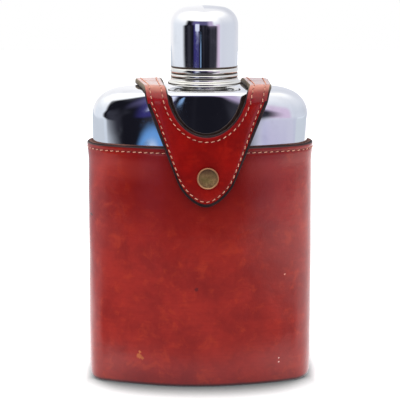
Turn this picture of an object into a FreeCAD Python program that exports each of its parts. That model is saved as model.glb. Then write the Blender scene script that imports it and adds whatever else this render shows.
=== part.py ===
"""Slip-case hip flask: a chrome flask with a screw cap, in a stitched leather case with a snap strap.

Frame: origin at the centre of the case's underside, +Z up, the front faces -Y, +X to the right.
Every plan section of the case and of the flask is the same oval, four tangent arcs, only offset:
"grow" is the distance outwards from the outer face of the case.
"""
import FreeCAD, Part
import math
import os

import Sketcher

DIMENSIONS = [
    ("half_width", 45.0, "half the case's width"),
    ("half_depth", 20.8, "half the case's depth at its middle"),
    ("end_radius", 14.0, "radius of the oval's two ends"),
    ("case_height", 97.7, "top of the case's rim"),
    ("base_thickness", 1.6, "leather base disc"),
    ("base_edge", 0.9, "rounding of the base disc's lower edge"),
    ("insole_thickness", 0.9, "felt pad inside the case"),
    ("leather", 1.4, "case and strap leather"),
    ("lining", 0.36, "thin hide lining inside the case"),
    ("running_gap", 0.03, "gap between pieces that touch"),
    ("flask_gap", 0.1, "slip fit between flask and lining"),
    ("sheet", 0.8, "metal of the flask body"),
    ("shoulder_height", 11.0, "height of the rounded shoulder"),
    ("shoulder_width", 13.0, "how far each shoulder comes in"),
    ("shoulder_depth", 3.0, "how far front and back come in"),
    ("flask_top", 118.9, "top of the flask's shoulder"),
    ("neck_offset", 1.7, "the neck stands right of the middle"),
    ("neck_bore", 7.6, "radius of the filler opening"),
    ("neck_radius", 9.0, "root radius of the neck's thread"),
    ("neck_top", 127.6, "lip of the neck"),
    ("thread_crest", 9.8, "crest radius of the neck's thread"),
    ("thread_pitch", 2.0, "rise of the cap per turn"),
    ("thread_start", 121.4, "height of the first thread turn"),
    ("thread_length", 4.0, "length of engaged thread"),
    ("insert_bore", 9.9, "bore of the threaded cup in the cap"),
    ("insert_radius", 11.5, "outside of the threaded cup"),
    ("cap_foot", 120.0, "underside of the cap's rolled flange"),
    ("flange_radius", 14.6, "rolled flange of the cap"),
    ("collar_top", 127.0, "joint between collar and dome"),
    ("dome_radius", 13.3, "outside of the dome"),
    ("dome_corner", 6.5, "rounding at the top of the dome"),
    ("cap_top", 150.8, "highest point of the cap"),
    ("cork_radius", 9.05, "cork disc in the cap"),
    ("cork_thickness", 1.7, "cork disc in the cap"),
    ("strap_under", 0.40, "gap between the strap and the case"),
    ("strap_lining", 0.8, "tan backing of the strap"),
    ("strap_total", 2.5, "outer face of the strap"),
    ("strap_floor", 119.2, "underside of the strap over the shoulder"),
    ("strap_front_middle", 3.2, "middle of the strap at the front bend"),
    ("strap_front_outer", 23.7, "half the strap's width at the front bend"),
    ("strap_front_inner", 15.3, "half the gap between the arms in front"),
    ("strap_back_middle", 0.6, "middle of the strap at the rear bend"),
    ("strap_back_outer", 27.0, "half the strap's width at the rear bend"),
    ("strap_back_inner", 16.3, "half the gap between the arms behind"),
    ("flap_tip", 74.6, "lowest point of the front flap"),
    ("flap_tip_radius", 8.0, "rounding of the flap's tip"),
    ("flap_notch", 102.5, "lowest point of the flap's opening"),
    ("flap_notch_radius", 12.0, "rounding of the flap's opening"),
    ("tail_tip", 68.0, "lowest point of the sewn tail behind"),
    ("tail_tip_radius", 9.0, "rounding of the tail"),
    ("tail_notch", 101.5, "lowest point of the tail's opening"),
    ("tail_notch_radius", 12.5, "rounding of the tail's opening"),
    ("snap_across", 2.9, "press stud's place across the front"),
    ("snap_height", 86.2, "press stud's height"),
    ("snap_cap_radius", 4.2, "press stud's cap"),
    ("snap_seat_radius", 3.4, "press stud's socket"),
    ("stitch_pitch", 2.4, "spacing of the stitches"),
    ("stitch_length", 1.6, "visible length of a stitch"),
    ("stitch_width", 0.55, "thickness of the thread"),
    ("stitch_rise", 0.3, "how far a stitch stands up"),
    ("stitch_inset", 2.3, "stitch row in from a strap's edge"),
    ("rim_row", 95.3, "height of the stitch row under the rim"),
]

document = FreeCAD.newDocument("HipFlask")
sheet = document.addObject("Spreadsheet::Sheet", "Dims")
for line, (alias, amount, meaning) in enumerate(DIMENSIONS, start=1):
    sheet.set(f"A{line}", alias)
    sheet.set(f"B{line}", str(amount))
    sheet.set(f"C{line}", meaning)
    sheet.setAlias(f"B{line}", alias)
document.recompute()

SUBPARTS = []
FRONT = -1
BACK = 1


def size(alias):
    """A driving dimension, read from the sheet."""
    return float(sheet.get(alias))


def bind(owner, prop, expression):
    """Bind a property to the sheet; names in braces are aliases."""
    owner.setExpression(prop, in_sheet(expression))


def in_sheet(expression):
    """Turn {alias} into a reference to the sheet's cell."""
    return str(expression).replace("{", "Dims.").replace("}", "")


def amount_of(expression):
    """The number that an expression of sheet names comes to."""
    plain = str(expression).replace("{", "").replace("}", "")
    quantity = sheet.evalExpression(plain)
    return float(getattr(quantity, "Value", quantity))


def body_of(name):
    """A new sub-part made of features."""
    body = document.addObject("PartDesign::Body", name)
    body.Label = name
    SUBPARTS.append(body)
    return body


def sketch_on(body, role, lift="0"):
    """A sketch on one of the body's own planes, lifted along its normal by an expression."""
    sketch = body.newObject("Sketcher::SketchObject", body.Name + "_sketch")
    for plane in body.Origin.OriginFeatures:
        if plane.Role == role:
            sketch.AttachmentSupport = [(plane, "")]
    sketch.MapMode = "FlatFace"
    if lift != "0":
        bind(sketch, "AttachmentOffset.Base.z", lift)
    return sketch


def hold(sketch, name, expression, kind, *geometry):
    """Add a named constraint whose value comes from the sheet."""
    index = sketch.addConstraint(Sketcher.Constraint(kind, *geometry, amount_of(expression)))
    sketch.renameConstraint(index, name)
    sketch.setExpression("Constraints." + name, in_sheet(expression))


def oval_terms(grow="0", across="0", inwards="0"):
    """Expressions for the oval's end centre, end radius, half depth and face radius."""
    centre = f"({{half_width}} - {{end_radius}} - ({across}))"
    end = f"({{end_radius}} + ({grow}) - ({inwards}))"
    half = f"({{half_depth}} + ({grow}) - ({inwards}))"
    face = f"(({centre} ^ 2 + {half} ^ 2 - {end} ^ 2) / (2 * ({half} - {end})))"
    return centre, end, half, face


def oval_arcs(grow="0", across="0", inwards="0"):
    """The oval's four arcs as (centre x, centre y, radius, start angle, end angle)."""
    centre, end, half, face = (amount_of(term) for term in oval_terms(grow, across, inwards))
    reach = face - half
    turn = math.atan2(reach, centre)
    return [
        (centre, 0, end, -turn, turn),
        (0, -reach, face, turn, math.pi - turn),
        (-centre, 0, end, math.pi - turn, math.pi + turn),
        (0, reach, face, math.pi + turn, 2 * math.pi - turn),
    ]


def oval(sketch, grow="0", across="0", inwards="0"):
    """Draw four tangent arcs, centred on the origin.

    `across` brings the end centres in; `inwards` shrinks the ends and the depth.
    """
    arcs = []
    for x, y, radius, start, stop in oval_arcs(grow, across, inwards):
        circle = Part.Circle(FreeCAD.Vector(x, y, 0), FreeCAD.Vector(0, 0, 1), radius)
        arcs.append(sketch.addGeometry(Part.ArcOfCircle(circle, start, stop), False))
    right, rear, left, near = arcs
    for first, second in zip(arcs, arcs[1:] + arcs[:1]):
        sketch.addConstraint(Sketcher.Constraint("Tangent", first, 2, second, 1))
    sketch.addConstraint(Sketcher.Constraint("PointOnObject", right, 3, -1))
    sketch.addConstraint(Sketcher.Constraint("Symmetric", right, 3, left, 3, -1, 1))
    sketch.addConstraint(Sketcher.Constraint("Equal", right, left))
    sketch.addConstraint(Sketcher.Constraint("Equal", rear, near))
    centre, end, _, face = oval_terms(grow, across, inwards)
    hold(sketch, "oval_centre", centre, "DistanceX", -1, 1, right, 3)
    hold(sketch, "oval_end", end, "Radius", right)
    hold(sketch, "oval_face", face, "Radius", rear)
    return sketch


def pad(body, sketch, length, backwards=False):
    """Raise a sketch by an expression."""
    feature = body.newObject("PartDesign::Pad", body.Name + "_pad")
    feature.Profile = sketch
    bind(feature, "Length", length)
    feature.Reversed = backwards
    body.Tip = feature
    document.recompute()
    return feature


def pocket(body, sketch, length=None, backwards=False, both=False):
    """Cut a sketch away, by an expression or right through."""
    before = body.Tip.Shape.Volume
    feature = body.newObject("PartDesign::Pocket", body.Name + "_pocket")
    feature.Profile = sketch
    if length is None:
        feature.Type = "ThroughAll"
    else:
        bind(feature, "Length", length)
    if both:
        feature.SideType = "Symmetric"
    feature.Reversed = backwards
    body.Tip = feature
    document.recompute()
    if feature.Shape.Volume >= before:
        raise RuntimeError(f"{feature.Name} cuts nothing")
    return feature


def round_off(body, radius, wanted):
    """Fillet the edges whose bounding box passes the test."""
    solid = body.Tip
    names = [f"Edge{n}" for n, edge in enumerate(solid.Shape.Edges, start=1) if wanted(edge.BoundBox)]
    feature = body.newObject("PartDesign::Fillet", body.Name + "_rounding")
    feature.Base = (solid, names)
    bind(feature, "Radius", radius)
    body.Tip = feature
    document.recompute()


def disc(sketch, radius, across="0", height="0"):
    """A full circle with its centre given by two expressions."""
    middle = FreeCAD.Vector(amount_of(across), amount_of(height), 0)
    circle = Part.Circle(middle, FreeCAD.Vector(0, 0, 1), amount_of(radius))
    index = sketch.addGeometry(circle, False)
    hold(sketch, "radius", radius, "Radius", index)
    place_point(sketch, index, 3, across, height)
    return sketch


def place_point(sketch, index, end, across, height):
    """Fix a point by two expressions; an expression of 0 puts it on the axis."""
    for kind, expression, axis in (("DistanceX", across, -2), ("DistanceY", height, -1)):
        if expression == "0":
            sketch.addConstraint(Sketcher.Constraint("PointOnObject", index, end, axis))
            continue
        hold(sketch, f"{kind}_{index}_{end}", expression, kind, -1, 1, index, end)


def polygon(sketch, corners):
    """A closed run of straight lines through corners given as pairs of expressions."""
    points = [FreeCAD.Vector(amount_of(a), amount_of(b), 0) for a, b in corners]
    lines = []
    for number, point in enumerate(points):
        following = points[(number + 1) % len(points)]
        lines.append(sketch.addGeometry(Part.LineSegment(point, following), False))
    for number, line_index in enumerate(lines):
        following = lines[(number + 1) % len(lines)]
        sketch.addConstraint(Sketcher.Constraint("Coincident", line_index, 2, following, 1))
        across, height = corners[number]
        place_point(sketch, line_index, 1, across, height)
    return lines


def turned(name, corners):
    """A piece of revolution about its own Z; corners are (radius, height) expressions."""
    body = body_of(name)
    sketch = sketch_on(body, "XZ_Plane")
    polygon(sketch, corners)
    feature = body.newObject("PartDesign::Revolution", name + "_turn")
    feature.Profile = sketch
    feature.ReferenceAxis = (sketch, ["V_Axis"])
    feature.Angle = 360
    body.Tip = feature
    document.recompute()
    return body


def on_neck(body):
    """Stand a turned piece on the neck's axis."""
    bind(body, "Placement.Base.x", "{neck_offset}")


def on_snap(body):
    """Turn a piece's axis outwards through the case wall at the press stud."""
    face = amount_of(oval_terms()[3])
    reach = face - size("half_depth")
    swing = math.asin(size("snap_across") / face)
    seat = FreeCAD.Vector(face * math.sin(swing), reach - face * math.cos(swing), size("snap_height"))
    outwards = FreeCAD.Vector(math.sin(swing), -math.cos(swing), 0)
    turn = FreeCAD.Rotation(FreeCAD.Vector(0, 0, 1), outwards)
    body.Placement = FreeCAD.Placement(seat, turn)


def drill_snap(body, radius):
    """A round hole through the front at the press stud."""
    sketch = sketch_on(body, "XZ_Plane")
    disc(sketch, radius, "{snap_across}", "{snap_height}")
    pocket(body, sketch, backwards=True)


# ---------------------------------------------------------------- the leather case

def make_case():
    """Base disc, insole, wall and lining of the slip case."""
    body = body_of("case_base")
    pad(body, oval(sketch_on(body, "XY_Plane")), "{base_thickness}")
    round_off(body, "{base_edge}", lambda box: box.ZMax < 0.01)

    body = body_of("case_insole")
    sketch = sketch_on(body, "XY_Plane", "{base_thickness} + {running_gap}")
    pad(body, oval(sketch, "-{leather} - {running_gap}"), "{insole_thickness}")

    body = body_of("case_wall")
    foot = "{base_thickness} + {running_gap}"
    tall = "{case_height} - {base_thickness} - {running_gap}"
    pad(body, oval(sketch_on(body, "XY_Plane", foot)), tall)
    pocket(body, oval(sketch_on(body, "XY_Plane", foot), "-{leather}"), backwards=True)
    drill_snap(body, "1.45")

    body = body_of("case_lining")
    foot = "{base_thickness} + {insole_thickness} + 2 * {running_gap}"
    tall = "{case_height} - {base_thickness} - {insole_thickness} - 0.4"
    outside = "-{leather} - {running_gap}"
    pad(body, oval(sketch_on(body, "XY_Plane", foot), outside), tall)
    pocket(body, oval(sketch_on(body, "XY_Plane", foot), outside + " - {lining}"), backwards=True)
    drill_snap(body, "3.2")


# ---------------------------------------------------------------- the flask

FLASK_SKIN = "-{leather} - {running_gap} - {lining} - {flask_gap}"
FLASK_FLOOR = "{base_thickness} + {insole_thickness} + 3 * {running_gap}"
SHOULDER_STEPS = 12
EDGE_SHARE = 0.22   # front and back close in over only this top share of the shoulder


def quarter(share):
    """How far in a quarter circle has come at this share of its height, 0 to 1."""
    return 1 - math.sqrt(max(0.0, 1 - share * share))


def shoulder(body, skin, drop, feature_type):
    """Loft the shoulder: the sides round over all of its height, front and back only near the top."""
    sections = []
    for step in range(SHOULDER_STEPS + 1):
        rise = round(math.sin(math.pi / 2 * step / SHOULDER_STEPS), 6)
        sideways = round(quarter(rise), 6)
        inwards = round(quarter(max(0.0, (rise - 1 + EDGE_SHARE) / EDGE_SHARE)), 6)
        lift = f"{{flask_top}} - {{shoulder_height}} + {rise} * ({{shoulder_height}} - ({drop}))"
        depth = f"{inwards} * {{shoulder_depth}}"
        across = f"{sideways} * {{shoulder_width}} - {depth}"
        sections.append(oval(sketch_on(body, "XY_Plane", lift), skin, across, depth))
    loft = body.newObject(feature_type, body.Name + "_shoulder")
    loft.Profile = sections[0]
    loft.Sections = sections[1:]
    loft.Ruled = True
    body.Tip = loft
    document.recompute()


def make_flask():
    """Hollow body with a rounded shoulder, a base plate and a threaded neck."""
    body = body_of("flask_shell")
    foot = FLASK_FLOOR + " + {sheet} + {running_gap}"
    tall = "{flask_top} - {shoulder_height} - (" + foot + ")"
    pad(body, oval(sketch_on(body, "XY_Plane", foot), FLASK_SKIN), tall)
    shoulder(body, FLASK_SKIN, "0", "PartDesign::AdditiveLoft")
    inside = FLASK_SKIN + " - {sheet}"
    pocket(body, oval(sketch_on(body, "XY_Plane", foot), inside), tall, backwards=True)
    shoulder(body, inside, "{sheet}", "PartDesign::SubtractiveLoft")
    sketch = sketch_on(body, "XY_Plane", "{flask_top} + 1")
    pocket(body, disc(sketch, "{neck_radius} + {running_gap}", "{neck_offset}"), "4")

    body = body_of("flask_base")
    pad(body, oval(sketch_on(body, "XY_Plane", FLASK_FLOOR), FLASK_SKIN), "{sheet}")

    under = "{flask_top} - {sheet} - {running_gap}"
    body = turned("flask_neck", [
        ("{neck_bore}", "{flask_top} - 2.2"),
        ("{neck_radius} + 1.8", "{flask_top} - 2.2"),
        ("{neck_radius} + 1.8", under),
        ("{neck_radius}", under),
        ("{neck_radius}", "{neck_top}"),
        ("{neck_bore}", "{neck_top}"),
    ])
    add_thread(body, "{neck_radius} - 0.1", "{thread_crest}", "{thread_start}")
    on_neck(body)


def add_thread(body, root, crest, start):
    """A helical ridge of triangular section from the root radius to the crest radius."""
    sketch = sketch_on(body, "XZ_Plane")
    half = "0.2 * {thread_pitch}"
    polygon(sketch, [
        (root, f"{start} - {half}"),
        (crest, f"{start} - 0.05"),
        (crest, f"{start} + 0.05"),
        (root, f"{start} + {half}"),
    ])
    ridge = body.newObject("PartDesign::AdditiveHelix", body.Name + "_thread")
    ridge.Profile = sketch
    ridge.ReferenceAxis = (sketch, ["V_Axis"])
    ridge.Mode = "pitch-height-angle"
    bind(ridge, "Pitch", "{thread_pitch}")
    bind(ridge, "Height", "{thread_length}")
    body.Tip = ridge
    document.recompute()


# ---------------------------------------------------------------- the screw cap

def make_cap():
    """Dome, grooved collar with a rolled flange, threaded cup, backing washer and cork."""
    body = turned("cap_collar", [
        ("{insert_radius} + {running_gap}", "{cap_foot} + 0.5"),
        ("{flange_radius} - 0.9", "{cap_foot}"),
        ("{flange_radius} - 0.25", "{cap_foot} + 0.2"),
        ("{flange_radius}", "{cap_foot} + 0.8"),
        ("{flange_radius} - 0.25", "{cap_foot} + 1.4"),
        ("{dome_radius} + 0.3", "{cap_foot} + 2.1"),
        ("{dome_radius} + 0.05", "{cap_foot} + 2.8"),
        ("{dome_radius} - 0.4", "{cap_foot} + 3.0"),
        ("{dome_radius} + 0.1", "{cap_foot} + 3.2"),
        ("{dome_radius} + 0.1", "{cap_foot} + 4.4"),
        ("{dome_radius} - 0.4", "{cap_foot} + 4.65"),
        ("{dome_radius} + 0.05", "{cap_foot} + 4.9"),
        ("{dome_radius} + 0.05", "{collar_top} - 0.25"),
        ("{dome_radius} - 0.3", "{collar_top}"),
        ("{insert_radius} + {running_gap}", "{collar_top}"),
    ])
    on_neck(body)

    body = body_of("cap_dome")
    sketch = sketch_on(body, "XY_Plane", "{collar_top} + {running_gap}")
    pad(body, disc(sketch, "{dome_radius}"), "{cap_top} - {collar_top} - {running_gap}")
    round_off(body, "{dome_corner}", lambda box: box.ZMin > size("cap_top") - 0.1)
    solid = body.Tip
    base = [f"Face{n}" for n, face in enumerate(solid.Shape.Faces, start=1)
            if face.BoundBox.ZMax < size("collar_top") + 0.1]
    hollow = body.newObject("PartDesign::Thickness", "cap_dome_hollow")
    hollow.Base = (solid, base)
    bind(hollow, "Value", "{sheet}")
    hollow.Mode = "Skin"
    hollow.Reversed = True
    body.Tip = hollow
    document.recompute()
    on_neck(body)

    seat = "{neck_top} + 0.05 + {cork_thickness}"
    body = turned("cap_threaded_cup", [
        ("{insert_bore}", "{cap_foot} + 0.9"),
        ("{insert_radius}", "{cap_foot} + 0.9"),
        ("{insert_radius}", seat + " + 1.65"),
        ("0", seat + " + 1.65"),
        ("0", seat + " + 0.85"),
        ("{insert_bore}", seat + " + 0.85"),
    ])
    add_thread(body, "{insert_bore} + 0.1", "{insert_bore} - 0.75", "{thread_start} + {thread_pitch} / 2")
    on_neck(body)

    for name, floor, roof in (
        ("cap_cork_seal", "{neck_top} + 0.05", seat),
        ("cap_seal_washer", seat + " + 0.05", seat + " + 0.8"),
    ):
        body = body_of(name)
        pad(body, disc(sketch_on(body, "XY_Plane", floor), "{cork_radius}"), f"({roof}) - ({floor})")
        on_neck(body)


# ---------------------------------------------------------------- the strap

STRAP_HEAD = "{strap_floor} - {running_gap}"

def tongue_run(side, edge, low, inset=0.0):
    """One edge of a tongue: (half width at the bend, arc's centre height, arc radius, touch angle).

    Each arm's edge is a straight line from the bend that touches the arc round the tip or notch.
    """
    half = size(f"strap_{side}_{edge}") - inset
    radius = size(low + "_radius")
    centre_height = size(low) + radius
    drop = amount_of(STRAP_HEAD) - centre_height
    reach = radius - inset
    touch = math.atan2(drop, half) - math.acos(reach / math.hypot(half, drop))
    return half, centre_height, reach, touch


def tongue_edges(side, edge, low, inset=0.0):
    """Left line, bottom arc and right line of one edge, drawn in the plane."""
    middle = size(f"strap_{side}_middle")
    top = amount_of(STRAP_HEAD)
    half, centre_height, reach, touch = tongue_run(side, edge, low, inset)
    centre = FreeCAD.Vector(middle, centre_height, 0)
    arc = Part.ArcOfCircle(Part.Circle(centre, FreeCAD.Vector(0, 0, 1), reach), math.pi - touch, 2 * math.pi + touch)
    left = Part.LineSegment(FreeCAD.Vector(middle - half, top, 0), arc.StartPoint)
    right = Part.LineSegment(arc.EndPoint, FreeCAD.Vector(middle + half, top, 0))
    return left, arc, right


def tongue_sketch(sketch, side, tip, notch):
    """A tapered tongue with a round tip, cut out by a round-bottomed notch between its arms."""
    middle = f"{{strap_{side}_middle}}"
    ends = []
    for edge, low in (("outer", tip), ("inner", notch)):
        left, arc, right = (sketch.addGeometry(piece, False) for piece in tongue_edges(side, edge, low))
        sketch.addConstraint(Sketcher.Constraint("Tangent", left, 2, arc, 1))
        sketch.addConstraint(Sketcher.Constraint("Tangent", arc, 2, right, 1))
        hold(sketch, edge + "_radius", f"{{{low}_radius}}", "Radius", arc)
        place_point(sketch, arc, 3, middle, f"{{{low}}} + {{{low}_radius}}")
        place_point(sketch, left, 1, f"{middle} - {{strap_{side}_{edge}}}", STRAP_HEAD)
        place_point(sketch, right, 2, f"{middle} + {{strap_{side}_{edge}}}", STRAP_HEAD)
        ends.append((left, right))
    (outer_left, outer_right), (inner_left, inner_right) = ends
    for first, first_end, second, second_end in (
        (outer_left, 1, inner_left, 1),
        (outer_right, 2, inner_right, 2),
    ):
        places = (sketch.getPoint(first, first_end), sketch.getPoint(second, second_end))
        closing = sketch.addGeometry(Part.LineSegment(*places), False)
        sketch.addConstraint(Sketcher.Constraint("Coincident", closing, 1, first, first_end))
        sketch.addConstraint(Sketcher.Constraint("Coincident", closing, 2, second, second_end))
    return sketch


def tongue(name, side, facing, tip, notch, inner, outer, hole=None):
    """A curved panel: the tongue's outline cut out of the space between two offset ovals."""
    body = body_of(name)
    sketch = tongue_sketch(sketch_on(body, "XZ_Plane"), side, tip, notch)
    pad(body, sketch, "{half_depth} + 8", backwards=(facing == BACK))
    pocket(body, oval(sketch_on(body, "XY_Plane"), inner), both=True)
    trim_outside(body, outer)
    if hole:
        drill_snap(body, hole)


def trim_outside(body, grow):
    """Cut away everything outside an offset oval."""
    sketch = sketch_on(body, "XY_Plane")
    wide = "{half_width} + 20"
    polygon(sketch, [
        (f"-({wide})", f"-({wide})"),
        (wide, f"-({wide})"),
        (wide, wide),
        (f"-({wide})", wide),
    ])
    oval(sketch, grow)
    pocket(body, sketch, both=True)


def arm(name, sign, floor, thick):
    """One arm of the strap where it lies flat across the shoulder."""
    body = body_of(name)
    sketch = sketch_on(body, "XY_Plane", floor)
    reach = "{half_depth} + 6"
    corners = []
    for side, along in (("back", reach), ("front", f"-({reach})")):
        for edge in ("outer", "inner") if side == "back" else ("inner", "outer"):
            across = f"{{strap_{side}_middle}} + {sign} * {{strap_{side}_{edge}}}"
            corners.append((across, along))
    polygon(sketch, corners)
    pad(body, sketch, thick)
    trim_outside(body, "{strap_total}")
    return body


def make_strap():
    """Front flap, two arms over the shoulders and the tail sewn to the back, each with its backing."""
    under = "{strap_under}"
    between = "{strap_under} + {strap_lining}"
    over = between + " + {running_gap}"
    seat_hole = "{snap_seat_radius} + 0.15"
    tongue("strap_flap", "front", FRONT, "flap_tip", "flap_notch", over, "{strap_total}", seat_hole)
    tongue("strap_flap_backing", "front", FRONT, "flap_tip", "flap_notch", under, between, seat_hole)
    tongue("strap_tail", "back", BACK, "tail_tip", "tail_notch", over, "{strap_total}")
    tongue("strap_tail_backing", "back", BACK, "tail_tip", "tail_notch", under, between)
    for name, sign in (("left", -1), ("right", 1)):
        arm(f"strap_arm_{name}_backing", sign, "{strap_floor}", "{strap_lining}")
        top = "{strap_floor} + {strap_lining} + {running_gap}"
        arm(f"strap_arm_{name}", sign, top, "{leather}")


# ---------------------------------------------------------------- the press stud

def make_snap():
    """Post and stud on the case, socket, spring ring and cap on the flap. Heights are along the axis."""
    on_snap(turned("snap_post", [
        ("0", "-{leather} - 0.32"),
        ("3.0", "-{leather} - 0.32"),
        ("3.0", "-{leather} - 0.08"),
        ("1.2", "-{leather} - 0.08"),
        ("1.2", "1.2"),
        ("0", "1.2"),
    ]))
    on_snap(turned("snap_stud", [
        ("1.23", "0.08"),
        ("2.5", "0.08"),
        ("2.5", "0.35"),
        ("1.6", "0.45"),
        ("1.6", "0.95"),
        ("1.85", "1.15"),
        ("1.75", "1.45"),
        ("1.2", "1.6"),
        ("0", "1.6"),
        ("0", "1.25"),
        ("1.23", "1.25"),
    ]))
    on_snap(turned("snap_socket", [
        ("2.15", "0.5"),
        ("{snap_seat_radius}", "0.5"),
        ("{snap_seat_radius}", "{strap_total}"),
        ("0.95", "{strap_total}"),
        ("0.95", "{strap_total} - 0.5"),
        ("2.15", "{strap_total} - 0.5"),
    ]))
    ring = document.addObject("Part::Torus", "snap_spring")
    ring.Label = "snap_spring"
    ring.Radius1 = 1.98
    ring.Radius2 = 0.14
    ring.Angle3 = 335
    SUBPARTS.append(ring)
    on_snap(ring)
    ring.Placement = ring.Placement.multiply(FreeCAD.Placement(FreeCAD.Vector(0, 0, 0.7), FreeCAD.Rotation()))
    on_snap(turned("snap_cap", [
        ("0", "{strap_total} - 0.4"),
        ("0.9", "{strap_total} - 0.4"),
        ("0.9", "{strap_total} + {running_gap}"),
        ("{snap_cap_radius} - 0.2", "{strap_total} + {running_gap}"),
        ("{snap_cap_radius}", "{strap_total} + 0.2"),
        ("{snap_cap_radius}", "{strap_total} + 0.6"),
        ("{snap_cap_radius} - 0.5", "{strap_total} + 0.95"),
        ("{snap_cap_radius} - 1.1", "{strap_total} + 0.8"),
        ("{snap_cap_radius} - 2.4", "{strap_total} + 1.1"),
        ("0", "{strap_total} + 1.25"),
    ]))


# ---------------------------------------------------------------- the stitching

def one_stitch(place, along, outwards):
    """A short bar of thread lying on the leather."""
    long_side = size("stitch_length")
    wide = size("stitch_width")
    bar = Part.makeBox(long_side, wide, size("stitch_rise"))
    bar.translate(FreeCAD.Vector(-long_side / 2, -wide / 2, 0))
    across = outwards.cross(along).normalize()
    turn = FreeCAD.Rotation(along, across, outwards, "XYZ")
    bar.Placement = FreeCAD.Placement(place, turn).multiply(bar.Placement)
    return bar


def rows_on(name, stitches):
    """Group the stitches of one seam in one sub-part."""
    piece = document.addObject("Part::Feature", name)
    piece.Label = name
    piece.Shape = Part.makeCompound(stitches)
    piece.Placement = FreeCAD.Placement()
    SUBPARTS.append(piece)


def rim_stitches():
    """One row round the case under its rim, except where the tail covers it."""
    stitches = []
    up = FreeCAD.Vector(0, 0, 1)
    for x, y, radius, start, stop in oval_arcs("{running_gap} + 0.03"):
        count = round(radius * (stop - start) / size("stitch_pitch"))
        for number in range(count):
            angle = start + (stop - start) * (number + 0.5) / count
            outwards = FreeCAD.Vector(math.cos(angle), math.sin(angle), 0)
            place = FreeCAD.Vector(x, y, size("rim_row")) + outwards * radius
            if place.y > 0 and abs(place.x) < size("strap_back_outer"):
                continue
            stitches.append(one_stitch(place, up.cross(outwards), outwards))
    return stitches


def tongue_stitches(side, facing, tip, notch):
    """Rows along the outer edge and round the notch of a tongue, laid on its curved face."""
    stitches = []
    highest = size("strap_floor") - size("stitch_pitch") / 2
    _, reach, radius, _, _ = oval_arcs("{strap_total} + {running_gap}")[3]
    inset = size("stitch_inset")
    for edge, low, move in (("outer", tip, inset), ("inner", notch, -inset)):
        wire = Part.Wire([piece.toShape() for piece in tongue_edges(side, edge, low, move)])
        flat = wire.discretize(Distance=size("stitch_pitch"))
        for here, there in zip(flat, flat[1:]):
            middle = (here + there) * 0.5
            if middle.y > highest:
                continue
            run = (there - here).normalize()
            swing = math.asin(middle.x / radius)
            outwards = FreeCAD.Vector(math.sin(swing), facing * math.cos(swing), 0)
            place = FreeCAD.Vector(middle.x, facing * (radius * math.cos(swing) - reach), middle.y)
            level = FreeCAD.Vector(math.cos(swing), -facing * math.sin(swing), 0)
            along = (level * run.x + FreeCAD.Vector(0, 0, run.y)).normalize()
            stitches.append(one_stitch(place, along, outwards))
    return stitches


def arm_stitches(sign):
    """A row along each edge of one arm."""
    stitches = []
    up = FreeCAD.Vector(0, 0, 1)
    height = size("strap_floor") + size("strap_lining") + size("leather") + 2 * size("running_gap")
    reach = size("half_depth") - 3.5
    for edge, inset in (("outer", -1), ("inner", 1)):
        ends = []
        for side, along in (("back", reach), ("front", -reach)):
            across = size(f"strap_{side}_{edge}") + inset * size("stitch_inset")
            middle = size(f"strap_{side}_middle")
            ends.append(FreeCAD.Vector(middle + sign * across, along, height))
        run = (ends[1] - ends[0])
        count = int(run.Length / size("stitch_pitch"))
        for number in range(count):
            place = ends[0] + run * ((number + 0.5) / count)
            stitches.append(one_stitch(place, FreeCAD.Vector(run).normalize(), up))
    return stitches


def back_seam_stitches():
    """The case wall's closing seam, down the middle of the back below the tail."""
    stitches = []
    place_y = size("half_depth") + size("running_gap") + 0.03
    height = size("tail_tip") - 2.5
    while height > size("base_thickness") + 3:
        for across in (-1.6, 1.6):
            place = FreeCAD.Vector(across, place_y, height)
            stitches.append(one_stitch(place, FreeCAD.Vector(0, 0, 1), FreeCAD.Vector(0, 1, 0)))
        height -= size("stitch_pitch")
    return stitches


def make_stitching():
    """All the thread, one sub-part per seam."""
    rows_on("rim_stitching", rim_stitches())
    rows_on("back_seam_stitching", back_seam_stitches())
    rows_on("flap_stitching", tongue_stitches("front", FRONT, "flap_tip", "flap_notch"))
    rows_on("tail_stitching", tongue_stitches("back", BACK, "tail_tip", "tail_notch"))
    rows_on("arm_stitching", arm_stitches(-1) + arm_stitches(1))


def check_and_write():
    """Stop on any failed feature or bad shape, then write every sub-part."""
    document.recompute()
    for thing in document.Objects:
        if "Invalid" in thing.State or "Error" in thing.State:
            raise RuntimeError(f"{thing.Name} failed: {thing.State}")
    for piece in SUBPARTS:
        if piece.Shape.isNull() or not piece.Shape.isValid() or piece.Shape.Volume <= 0:
            raise RuntimeError(f"{piece.Label} has no valid shape")
    os.makedirs("parts", exist_ok=True)
    for piece in SUBPARTS:
        piece.Shape.exportStep(os.path.join("parts", piece.Label + ".step"))
        box = piece.Shape.BoundBox
        print(f"{piece.Label}: {piece.Shape.Volume:.1f} mm3, solids {len(piece.Shape.Solids)}, "
              f"x {box.XMin:.2f}..{box.XMax:.2f} y {box.YMin:.2f}..{box.YMax:.2f} "
              f"z {box.ZMin:.2f}..{box.ZMax:.2f}")


make_case()
make_flask()
make_cap()
make_strap()
make_snap()
make_stitching()
check_and_write()
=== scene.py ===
"""Looks for the slip-case hip flask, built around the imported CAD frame. Metres, front facing -Y."""
from math import asin, atan2, copysign, cos, pi, radians, sin, sqrt

import bmesh
import bpy
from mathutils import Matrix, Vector, noise


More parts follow.
